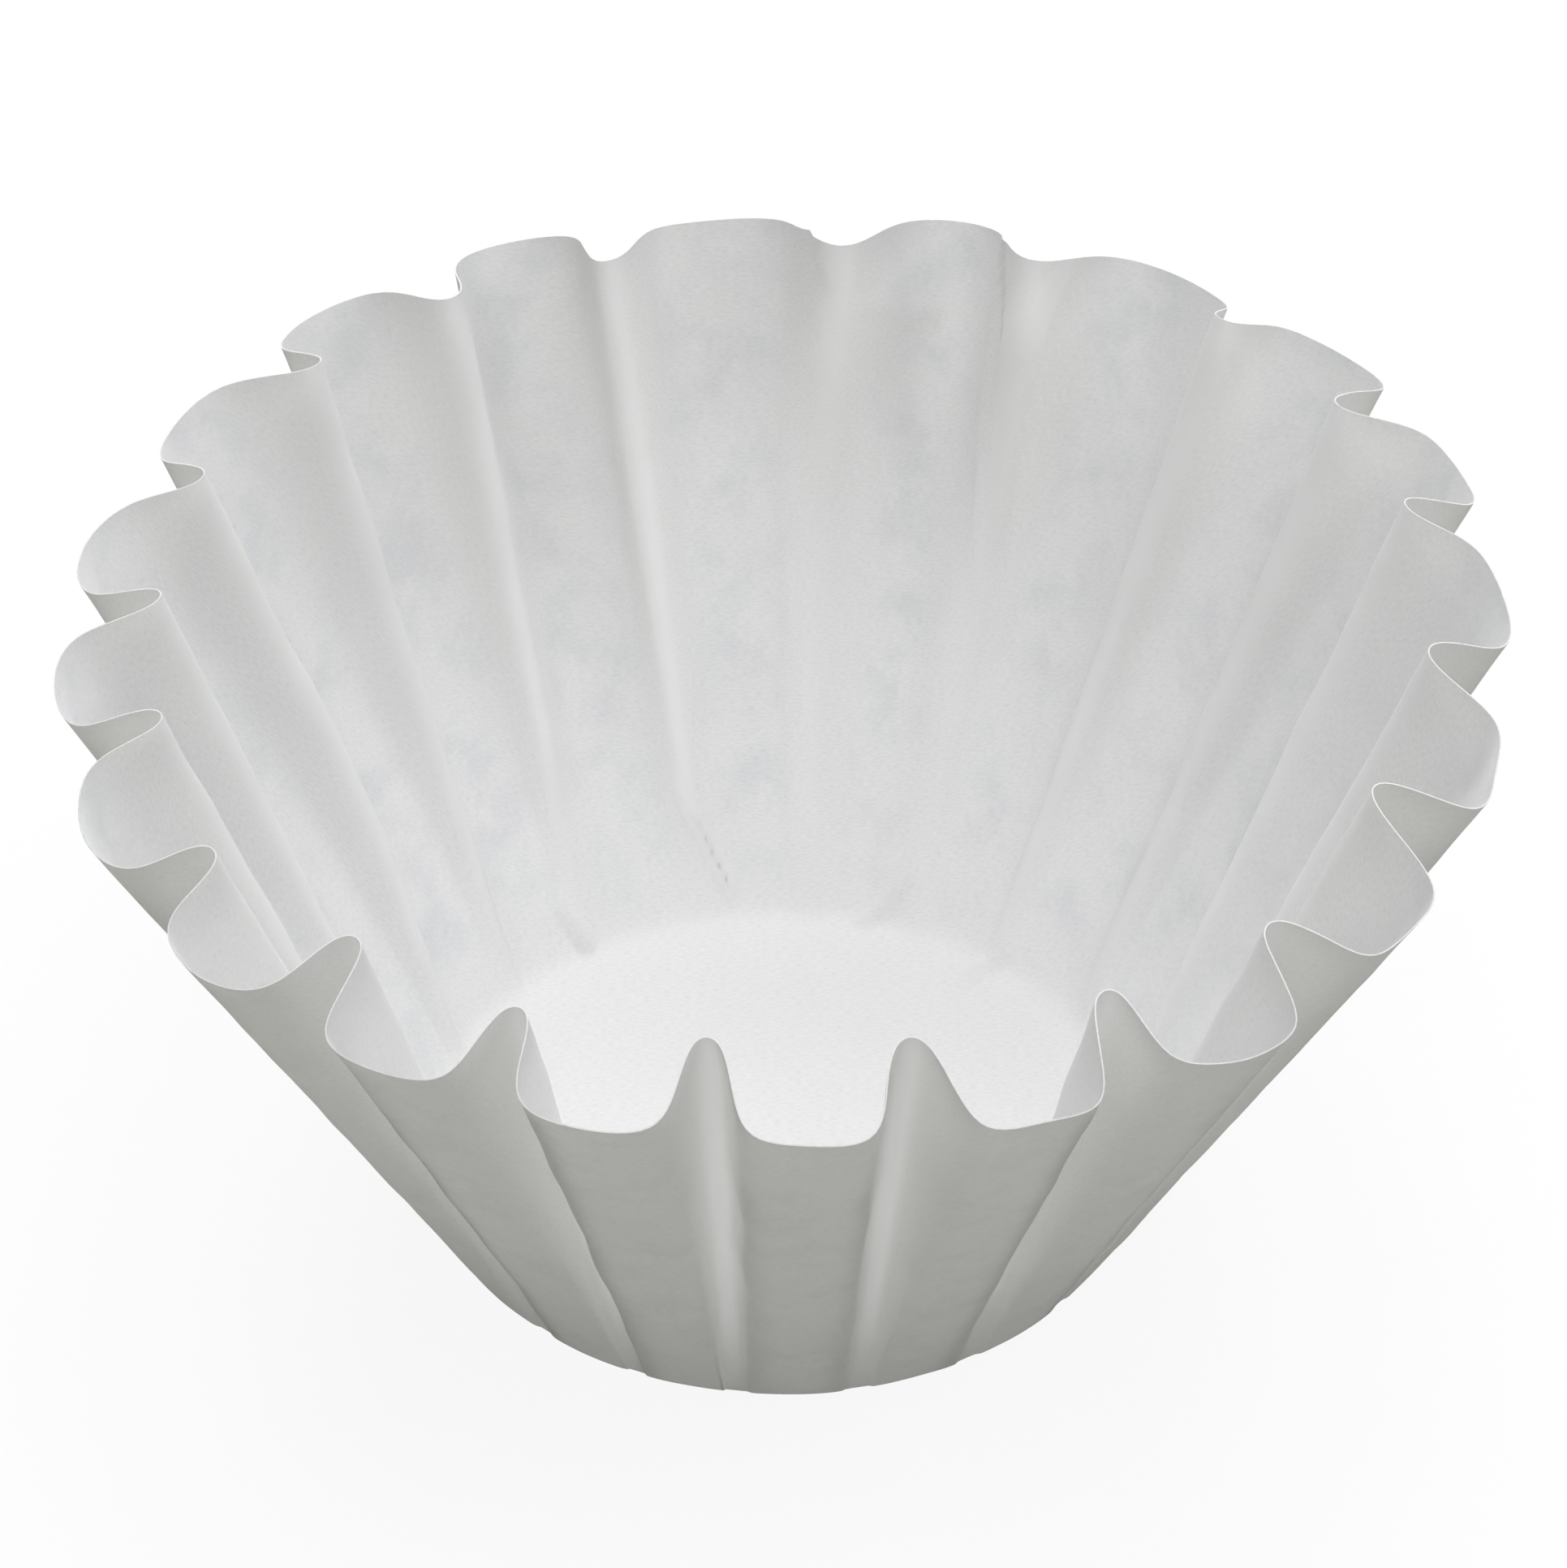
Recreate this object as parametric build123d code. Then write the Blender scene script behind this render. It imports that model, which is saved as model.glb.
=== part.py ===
from build123d import *
import math
import os
from typing import NamedTuple

# A flat-bottomed pleated paper filter, pressed from one round blank.
# Millimetres, +Z up. The origin is the centre of the flat base, on the surface it rests on.
# The blank is a disc of radius base_radius + slant_length, and the paper doesn't stretch.

# Sheet and blank
paper_thickness = 0.2
base_radius = 30.0
slant_length = 62.5

# Pressed corner between the base and the wall
corner_setback = 1.3
base_fold_inset = 0.25

# Section of one pleat at the cut rim: a narrow inward fold and a broad outward crest
fold_nose_half_width = 1.25
fold_nose_round = 0.4
crest_paper_share = 0.4
crest_rise = 0.5
flank_reach = 0.62
flank_height = 0.5

# Folds close towards the base. These are shares of the pleat pitch that a fold's nose and
# each of its two flanks keep there. The front folds were pulled widest open at the nose,
# and the flanks at the back lie nearly flat.
nose_paper_share = 0.13
base_nose_share = 0.1
base_nose_share_in_front = 0.2
base_flank_share = 0.07
base_flank_share_in_front = 0.03
base_flank_share_at_back = 0.19

# Flat panels that draw the curved sheet
panels_per_corner = 2
corner_steps = 2
wall_shares = (0.14, 1.0)


class Pleat(NamedTuple):
    """One pleat, from its own inward fold to the next fold. All values are in degrees."""

    fold_angle: float
    fold_lean: float
    crest_lean: float
    crest_turn: float
    base_turn: float = 0.0


# The twenty pleats as the opened filter stands, anticlockwise from the front left.
# A lean is how far that line of paper tips outward from upright. Opening the cup has
# spread some pleats and pinched others, and has pushed the back right side further out.
# A base turn is how far a fold meets the base away from the even pitch.
PLEATS = [
    Pleat(fold_angle=-130.6, fold_lean=20.2, crest_lean=28.0, crest_turn=0.0),
    Pleat(fold_angle=-113.6, fold_lean=20.0, crest_lean=27.5, crest_turn=0.1, base_turn=-0.8),
    Pleat(fold_angle=-96.6, fold_lean=19.5, crest_lean=27.6, crest_turn=0.0, base_turn=-3.0),
    Pleat(fold_angle=-78.9, fold_lean=19.9, crest_lean=28.3, crest_turn=-0.2, base_turn=-1.4),
    Pleat(fold_angle=-60.7, fold_lean=20.0, crest_lean=28.6, crest_turn=-0.8, base_turn=-1.0),
    Pleat(fold_angle=-43.4, fold_lean=21.3, crest_lean=28.4, crest_turn=-0.3),
    Pleat(fold_angle=-23.3, fold_lean=19.9, crest_lean=27.8, crest_turn=-0.7),
    Pleat(fold_angle=-3.1, fold_lean=21.1, crest_lean=28.1, crest_turn=-0.2),
    Pleat(fold_angle=18.1, fold_lean=22.6, crest_lean=30.9, crest_turn=-0.8),
    Pleat(fold_angle=33.7, fold_lean=24.1, crest_lean=33.0, crest_turn=0.4),
    Pleat(fold_angle=49.3, fold_lean=25.1, crest_lean=30.8, crest_turn=-1.2),
    Pleat(fold_angle=67.1, fold_lean=21.9, crest_lean=28.5, crest_turn=0.0),
    Pleat(fold_angle=84.8, fold_lean=17.8, crest_lean=24.8, crest_turn=-0.2),
    Pleat(fold_angle=108.4, fold_lean=17.8, crest_lean=27.6, crest_turn=-1.6),
    Pleat(fold_angle=124.1, fold_lean=19.4, crest_lean=28.3, crest_turn=0.4),
    Pleat(fold_angle=139.9, fold_lean=20.3, crest_lean=27.3, crest_turn=0.8),
    Pleat(fold_angle=159.4, fold_lean=20.1, crest_lean=27.5, crest_turn=0.3),
    Pleat(fold_angle=177.1, fold_lean=19.7, crest_lean=27.9, crest_turn=-0.3),
    Pleat(fold_angle=193.8, fold_lean=20.3, crest_lean=28.5, crest_turn=-1.0),
    Pleat(fold_angle=211.8, fold_lean=21.9, crest_lean=28.5, crest_turn=-0.3),
]

full_turn = 360.0
pleat_pitch = full_turn / len(PLEATS)
pleat_paper = 2 * math.pi * (base_radius + slant_length) / len(PLEATS)
crest_width = pleat_paper * crest_paper_share


def polar(radius, angle):
    """Point on the base plane at a radius and an angle in degrees."""
    turn = math.radians(angle)
    return Vector(radius * math.cos(turn), radius * math.sin(turn), 0)


def rim_radius(lean):
    """Radius that a straight line of paper reaches when it leans out by this angle."""
    return base_radius + slant_length * math.sin(math.radians(lean))


def pleat_corners(pleat, following):
    """Corners of one pleat's section, from its fold nose to the next one's."""
    start_angle = pleat.fold_angle
    end_angle = following.fold_angle
    if end_angle < start_angle:
        end_angle += full_turn
    start_radius = rim_radius(pleat.fold_lean)
    end_radius = rim_radius(following.fold_lean)
    crest_radius = rim_radius(pleat.crest_lean)
    start_nose = math.degrees(fold_nose_half_width / start_radius)
    end_nose = math.degrees(fold_nose_half_width / end_radius)
    crest_angle = (start_angle + end_angle) / 2 + pleat.crest_turn
    crest_half = math.degrees(crest_width / 2 / crest_radius)
    lead = crest_angle - crest_half
    trail = crest_angle + crest_half
    start_flank = start_radius + flank_height * (crest_radius - start_radius)
    end_flank = end_radius + flank_height * (crest_radius - end_radius)
    return [
        polar(start_radius - fold_nose_round, start_angle + start_nose),
        polar(start_flank, start_angle + flank_reach * (lead - start_angle)),
        polar(crest_radius, lead),
        polar(crest_radius + crest_rise, crest_angle),
        polar(crest_radius, trail),
        polar(end_flank, end_angle - flank_reach * (end_angle - trail)),
        polar(end_radius - fold_nose_round, end_angle - end_nose),
    ]


def steered(before, start, end, after, share):
    """Point on a cubic curve steered by four corners, a share of the way from start to end."""
    rest = 1 - share
    near = before * rest**3 + start * (3 * share**3 - 6 * share**2 + 4)
    far = end * (3 * rest**3 - 6 * rest**2 + 4) + after * share**3
    return (near + far) / 6


def rim_plan():
    """The cut rim seen from above: points along a closed curve that the corners steer."""
    corners = []
    for index, pleat in enumerate(PLEATS):
        following = PLEATS[(index + 1) % len(PLEATS)]
        corners += pleat_corners(pleat, following)
    count = len(corners)
    plan = []
    for i in range(count):
        around = [corners[(i + step) % count] for step in (-1, 0, 1, 2)]
        plan += [steered(*around, panel / panels_per_corner) for panel in range(panels_per_corner)]
    return plan


def raised(point):
    """A rim point lifted to where the unstretched wall reaches at that radius."""
    reach = point.length - base_radius
    return Vector(point.X, point.Y, math.sqrt(slant_length**2 - reach**2))


def base_start():
    """Angle at which the first fold leaves the base: the folds' mean, on an even pitch."""
    shifts = [pleat.fold_angle - index * pleat_pitch for index, pleat in enumerate(PLEATS)]
    return sum(shifts) / len(shifts)


def base_shares(angle):
    """Shares of the pitch that a nose and a flank keep on the base at this angle round it."""
    front = max(-math.sin(math.radians(angle)), 0)
    back = max(math.sin(math.radians(angle)), 0) ** 2
    nose = base_nose_share + (base_nose_share_in_front - base_nose_share) * front
    flank = base_flank_share + (base_flank_share_in_front - base_flank_share) * front
    flank += (base_flank_share_at_back - base_flank_share) * back
    return nose, flank


def pressed_share(share, nose, flank):
    """Share of the pitch on the base that lies before a share of the paper between folds."""
    nearest = min(share, 1 - share)
    half_nose = nose_paper_share / 2
    shoulder = (1 - crest_paper_share) / 2
    if nearest < half_nose:
        placed = nose / 2 * nearest / half_nose
    elif nearest < shoulder:
        placed = nose / 2 + flank * (nearest - half_nose) / (shoulder - half_nose)
    else:
        middle = 0.5
        crest = middle - nose / 2 - flank
        placed = middle - crest * (middle - nearest) / (middle - shoulder)
    return placed if share < 0.5 else 1 - placed


def base_inset(share):
    """How far inside the base edge a line of paper stands, all of it at a fold's nose."""
    half_nose = nose_paper_share / 2
    shoulder = (1 - crest_paper_share) / 2
    along = (min(share, 1 - share) - half_nose) / (shoulder - half_nose)
    along = min(max(along, 0), 1)
    return base_fold_inset * (1 + math.cos(math.pi * along)) / 2


def base_edge(plan):
    """Where each rim point's line of paper meets the base, each fold nearly shut there."""
    count = len(plan)
    per_pleat = count // len(PLEATS)
    edge = []
    for index, pleat in enumerate(PLEATS):
        following = PLEATS[(index + 1) % len(PLEATS)]
        run = range(index * per_pleat, (index + 1) * per_pleat)
        steps = [(plan[i] - plan[i - 1]).length for i in run]
        travelled = 0.0
        for i, step in zip(run, steps):
            travelled += step
            share = travelled / sum(steps)
            nose, flank = base_shares(base_start() + pleat_pitch * (index + share))
            turn = pleat.base_turn * (1 - share) + following.base_turn * share
            placed = index + pressed_share(share, nose, flank)
            angle = base_start() + pleat_pitch * placed + turn
            edge.append(polar(base_radius - base_inset(share), angle))
    return edge


def wall_lines():
    """Pairs of base edge point and rim point that each straight line of paper joins."""
    plan = rim_plan()
    return [(low, raised(high)) for low, high in zip(base_edge(plan), plan)]


def corner_ring(lines, share):
    """Points and headings round the corner: share 0 is on the flat base, 1 on the wall."""
    points = []
    headings = []
    for low, high in lines:
        outward = low.normalized()
        upward = (high - low).normalized()
        on_base = low - outward * corner_setback
        on_wall = low + upward * corner_setback
        near_base = on_base * (1 - share) ** 2
        near_wall = on_wall * share**2
        points.append(near_base + low * (2 * share * (1 - share)) + near_wall)
        headings.append((outward * (1 - share) + upward * share).normalized())
    return points, headings


def wall_ring(lines, share):
    """Points and headings across the wall: share 0 is at the corner, 1 at the cut rim."""
    points = []
    headings = []
    for low, high in lines:
        upward = (high - low).normalized()
        foot = low + upward * corner_setback
        points.append(foot + (high - foot) * share)
        headings.append(upward)
    return points, headings


def through_sheet(points, headings):
    """The same points moved through the sheet, square to both panels that meet there."""
    moved = []
    for i, (point, heading) in enumerate(zip(points, headings)):
        following = points[(i + 1) % len(points)]
        before = (point - points[i - 1]).cross(heading).normalized()
        after = (following - point).cross(heading).normalized()
        square = (before + after) / (1 + before.dot(after))
        moved.append(point - square * paper_thickness)
    return moved


def panels(lower, upper):
    """Flat three-sided panels between two rings, slanted alike on both sides of a fold."""
    faces = []
    count = len(lower)
    per_pleat = count // len(PLEATS)
    for i in range(count):
        low = lower[i - 1], lower[i]
        high = upper[i - 1], upper[i]
        if i % per_pleat < per_pleat // 2:
            corners = [(low[0], low[1], high[0]), (low[1], high[1], high[0])]
        else:
            corners = [(low[0], low[1], high[1]), (low[0], high[1], high[0])]
        faces += [Face(Wire.make_polygon(three)) for three in corners]
    return faces


def skin(rings):
    """One side of the sheet, from its flat base to its rim."""
    faces = [Face(Wire.make_polygon(rings[0]))]
    for lower, upper in zip(rings, rings[1:]):
        faces += panels(lower, upper)
    return faces


def filter_sheet():
    """The whole sheet as one closed solid."""
    lines = wall_lines()
    rings = [corner_ring(lines, step / corner_steps) for step in range(corner_steps + 1)]
    rings += [wall_ring(lines, share) for share in wall_shares]
    outer_rings = [points for points, headings in rings]
    inner_rings = [through_sheet(points, headings) for points, headings in rings]
    cut_edge = panels(outer_rings[-1], inner_rings[-1])
    return Solid(Shell(skin(outer_rings) + skin(inner_rings) + cut_edge))


filter_paper = filter_sheet()
os.makedirs("parts", exist_ok=True)
export_step(filter_paper, "parts/filter_paper.step")
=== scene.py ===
"""Looks of a fluted paper coffee filter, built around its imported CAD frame.

The filter is one disc of thin creped paper, pressed into a flat base and a fluted wall.
"""

import logging
import math
from dataclasses import dataclass
from typing import Any

import bpy
import numpy as np
from mathutils import Matrix, Vector


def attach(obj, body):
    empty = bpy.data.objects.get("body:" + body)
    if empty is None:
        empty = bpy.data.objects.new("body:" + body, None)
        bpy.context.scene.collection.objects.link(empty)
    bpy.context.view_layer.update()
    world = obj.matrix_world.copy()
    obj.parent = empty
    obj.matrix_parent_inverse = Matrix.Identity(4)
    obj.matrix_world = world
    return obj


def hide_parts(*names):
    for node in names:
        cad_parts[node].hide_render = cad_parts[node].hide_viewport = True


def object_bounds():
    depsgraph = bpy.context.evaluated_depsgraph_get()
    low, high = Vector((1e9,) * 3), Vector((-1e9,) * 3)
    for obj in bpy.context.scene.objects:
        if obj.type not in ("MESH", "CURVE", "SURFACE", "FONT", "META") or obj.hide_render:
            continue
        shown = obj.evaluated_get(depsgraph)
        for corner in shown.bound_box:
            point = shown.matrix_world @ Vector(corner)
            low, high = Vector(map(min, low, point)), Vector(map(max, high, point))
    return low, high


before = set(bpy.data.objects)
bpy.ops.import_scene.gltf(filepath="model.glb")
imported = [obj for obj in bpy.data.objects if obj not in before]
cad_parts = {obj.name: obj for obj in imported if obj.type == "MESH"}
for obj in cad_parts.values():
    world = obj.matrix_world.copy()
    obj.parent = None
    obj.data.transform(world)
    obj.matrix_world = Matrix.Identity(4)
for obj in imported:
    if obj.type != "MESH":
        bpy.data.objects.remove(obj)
cad_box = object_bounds()

log = logging.getLogger("coffee_filter")

METRES_PER_MM = 0.001
PHOTO_WIDTH_PX = 1931
PHOTO_HEIGHT_PX = 1932
WHITE = (1.0, 1.0, 1.0, 1.0)

# The Mix node's colour sockets, which share their names with its other sockets
FIRST_COLOUR = 6
SECOND_COLOUR = 7
MIXED_COLOUR = 2


def linear_colour(code: str) -> tuple[float, float, float, float]:
    """Turns an sRGB hex code into linear colour.

    Args:
        code: Six hex digits, with or without a leading hash.

    Returns:
        Red, green, blue and alpha, as Blender's sockets take them.
    """
    digits = code.lstrip("#")
    channels = [int(digits[i : i + 2], 16) / 255 for i in (0, 2, 4)]
    linear = [c / 12.92 if c <= 0.04045 else ((c + 0.055) / 1.055) ** 2.4 for c in channels]
    return (*linear, 1.0)


def add_node(
    tree: bpy.types.NodeTree,
    kind: str,
    settings: dict[str, Any] | None = None,
    inputs: dict[str | int, Any] | None = None,
) -> bpy.types.Node:
    """Adds a node with its settings, and links or sets its inputs.

    Args:
        tree: The node tree that the node joins.
        kind: The node's type name.
        settings: The node's own properties and their values.
        inputs: What each input takes: a socket to link, or a value to set.

    Returns:
        The new node.
    """
    node = tree.nodes.new(kind)
    for name, value in (settings or {}).items():
        setattr(node, name, value)
    for name, value in (inputs or {}).items():
        if isinstance(value, bpy.types.NodeSocket):
            tree.links.new(value, node.inputs[name])
        else:
            node.inputs[name].default_value = value
    return node


def eased(share: float | np.ndarray) -> float | np.ndarray:
    """A share from 0 to 1, or an array of them, that leaves 0 and reaches 1 smoothly."""
    return share * share * (3 - 2 * share)


@dataclass(frozen=True)
class Flute:
    """One flute of the opened cup, from its own inward fold to the next fold.

    Angles are in degrees. A lean is how far a line of paper tips outward from upright.
    The shares say how far from this fold to the next the flute's two shoulders stand.
    The base shift turns the fold's foot round the base from its even place.
    """

    fold_angle: float
    fold_lean: float
    lead_share: float
    lead_lean: float
    crest_lean: float
    trail_share: float
    trail_lean: float
    base_shift: float = 0.0


FLUTES = (
    Flute(-130.6, 20.2, 0.17, 28.3, 28.2, 0.83, 27.6),
    Flute(-113.6, 20.0, 0.16, 27.5, 28.0, 0.85, 27.4, -0.8),
    Flute(-96.6, 19.5, 0.20, 27.4, 27.6, 0.79, 27.9, -3.0),
    Flute(-78.9, 19.9, 0.21, 28.2, 27.9, 0.77, 28.6, -1.4),
    Flute(-60.7, 20.0, 0.12, 27.4, 29.2, 0.78, 29.0, -1.0),
    Flute(-43.4, 21.3, 0.24, 28.4, 28.2, 0.73, 28.4),
    Flute(-23.3, 19.9, 0.20, 28.3, 27.6, 0.73, 27.3),
    Flute(-3.1, 21.1, 0.19, 28.2, 28.5, 0.79, 27.7),
    Flute(18.1, 22.6, 0.11, 30.6, 30.9, 0.79, 31.3),
    Flute(33.7, 24.1, 0.20, 33.3, 33.5, 0.85, 31.9),
    Flute(49.3, 25.1, 0.10, 29.1, 31.9, 0.75, 31.0, 3.0),
    Flute(67.1, 21.9, 0.29, 28.3, 29.9, 0.71, 27.2),
    Flute(84.8, 17.8, 0.25, 25.1, 24.7, 0.73, 24.5),
    Flute(108.4, 17.8, 0.01, 26.9, 29.8, 0.74, 26.0, -1.0),
    Flute(124.1, 19.4, 0.16, 28.2, 29.5, 0.89, 27.2, 2.5),
    Flute(139.9, 20.3, 0.24, 27.8, 27.8, 0.84, 26.2),
    Flute(159.4, 20.4, 0.18, 26.9, 28.7, 0.86, 26.7),
    Flute(177.1, 19.7, 0.14, 27.8, 28.4, 0.82, 27.2),
    Flute(193.8, 20.3, 0.08, 27.5, 29.7, 0.79, 27.9),
    Flute(211.8, 21.9, 0.16, 28.6, 29.5, 0.81, 27.5),
)

# Places below are on the flat blank. Round it they are counted in flutes from the first
# fold, which is at 0, so the second fold is at 1 and the thirteenth at 12. Heights are in
# millimetres of paper above the base edge, and depths, widths and shifts are in mm too,
# apart from the half width of a sway, which is in flutes.


@dataclass(frozen=True)
class Dent:
    """A soft push in the sheet, square to it, outward where its depth is positive."""

    around: float
    above: float
    depth: float
    half_width: float
    half_height: float


@dataclass(frozen=True)
class Sway:
    """A fold that strays from its straight line between base and rim."""

    around: float
    above: float
    half_height: float
    outward: float
    sideways: float
    half_flutes: float = 0.22


@dataclass(frozen=True)
class Fade:
    """A fold that opens out below some height, so that the wall is smooth there.

    The share says how far it opens, where 1 is flat from crest to crest.
    """

    around: float
    full_below: float
    none_above: float
    share: float


@dataclass(frozen=True)
class Crease:
    """A short fold line in the sheet, raised outward where its height is positive.

    Each end is a place round the blank and a height. Drawn thin is how much more light it
    lets through, where 1 is as on the nose of a fold. The shades say how far each side is
    darkened: painted shade for the shadow in and beside the crease, which also lets less
    light through.
    """

    start: tuple[float, float]
    end: tuple[float, float]
    height: float
    half_width: float = 0.5
    drawn_thin: float = 0.0
    painted_shade_inside: float = 0.0
    painted_shade_outside: float = 0.0


# Folds 13, 12, 14 and 15, at the back, which have opened out in their lower part
FADES = (
    Fade(around=12, full_below=34, none_above=64, share=0.9),
    Fade(around=11, full_below=26, none_above=58, share=0.85),
    Fade(around=13, full_below=3, none_above=16, share=0.8),
    Fade(around=14, full_below=6, none_above=22, share=0.6),
)

# Fold 17, which bows inward halfway up the wall
SWAYS = (Sway(around=16, above=28, half_height=20, outward=-1.6, sideways=-0.8),)

# Two dents under the rim at the back, one beside fold 13 and one on fold 12
DENTS = (
    Dent(around=11.75, above=57.5, depth=-0.7, half_width=2.6, half_height=2.6),
    Dent(around=10.97, above=55.6, depth=-1.4, half_width=2.0, half_height=3.2),
)

CREASES = (
    # Kink at the foot of fold 14
    Crease((13.073, 13.3), (12.654, 2.4), -0.5, 0.5, drawn_thin=1.8),
    # Turned edge of fold 13 at the rim, and the lower edge of the dent beside it
    Crease((12.16, 62.5), (12.03, 58.0), 0.5, 0.7),
    Crease((11.93, 55.8), (11.52, 54.4), -0.7, 1.3),
    # Line down fold 12, its thin lit corner, and painted shade on its dark edge and faint tail
    Crease((11.2, 62.0), (11.07, 35.2), -0.4, 0.8),
    Crease((10.87, 62.0), (11.0, 55.5), 0.0, 1.0, drawn_thin=2.2),
    Crease((11.19, 62.5), (11.05, 55.0), 0.0, 0.4, painted_shade_inside=0.3),
    Crease((11.0, 55.0), (10.95, 36.0), 0.0, 1.8, painted_shade_inside=0.06),
    # Small handling creases on the back wall
    Crease((9.988, 31.1), (9.662, 24.3), -0.25, 0.5),
    Crease((10.34, 61.0), (10.2, 46.0), -0.25, 0.6),
    Crease((11.63, 22.9), (11.45, 21.0), -0.2, 0.45),
    Crease((11.5, 24.5), (11.42, 21.5), -0.2, 0.45),
    # Dimples where the back wall meets the base, with painted shade in them
    Crease((11.471, 0.0), (11.085, 5.1), -0.55, 0.7, painted_shade_inside=0.06),
    Crease((14.289, 5.1), (14.03, 1.0), -0.55, 0.7, painted_shade_inside=0.08),
    Crease((9.85, 2.0), (10.05, -1.5), -0.5, 0.8, painted_shade_inside=0.06),
    # Edges of the front flutes, where painted shade draws faint dark lines on their outer side
    Crease((0.33, 50.0), (0.31, 2.0), 0.0, 1.1, painted_shade_outside=0.3),
    Crease((1.32, 60.0), (1.3, 2.0), 0.0, 1.3, painted_shade_outside=0.2),
    Crease((2.3, 48.0), (2.3, 2.0), 0.0, 1.3, painted_shade_outside=0.11),
    Crease((2.7, 48.0), (2.7, 2.0), 0.0, 1.3, painted_shade_outside=0.14),
    Crease((3.66, 60.0), (3.68, 2.0), 0.0, 1.4, painted_shade_outside=0.25),
    Crease((4.68, 50.0), (4.69, 2.0), 0.0, 1.1, painted_shade_outside=0.3),
)


@dataclass(frozen=True)
class Speckle:
    """Soft spots scattered over the blank, with their size in mm.

    They come from noise: where it is at its low value or less there is no spot, and where
    it is at its high value or more the spot is full.
    """

    length: float
    width: float
    detail: float = 0.0
    low: float = 0.0
    high: float = 1.0
    roughness: float = 0.6

    def pattern(
        self, tree: bpy.types.NodeTree, place: bpy.types.NodeSocket
    ) -> bpy.types.NodeSocket:
        """Draws the spots.

        Args:
            tree: The material's node tree.
            place: Socket with the place on the blank, in mm.

        Returns:
            Socket that goes from 0 between the spots to 1 in their middles.
        """
        drawn = add_node(
            tree,
            "ShaderNodeMapping",
            inputs={"Vector": place, "Scale": (1 / self.length, 1 / self.width, 1.0)},
        )
        noise = add_node(
            tree,
            "ShaderNodeTexNoise",
            {"noise_dimensions": "2D"},
            {
                "Vector": drawn.outputs["Vector"],
                "Scale": 1.0,
                "Detail": self.detail,
                "Roughness": self.roughness,
            },
        )
        spots = add_node(
            tree,
            "ShaderNodeMapRange",
            inputs={"Value": noise.outputs["Fac"], "From Min": self.low, "From Max": self.high},
        )
        return spots.outputs["Result"]


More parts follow.
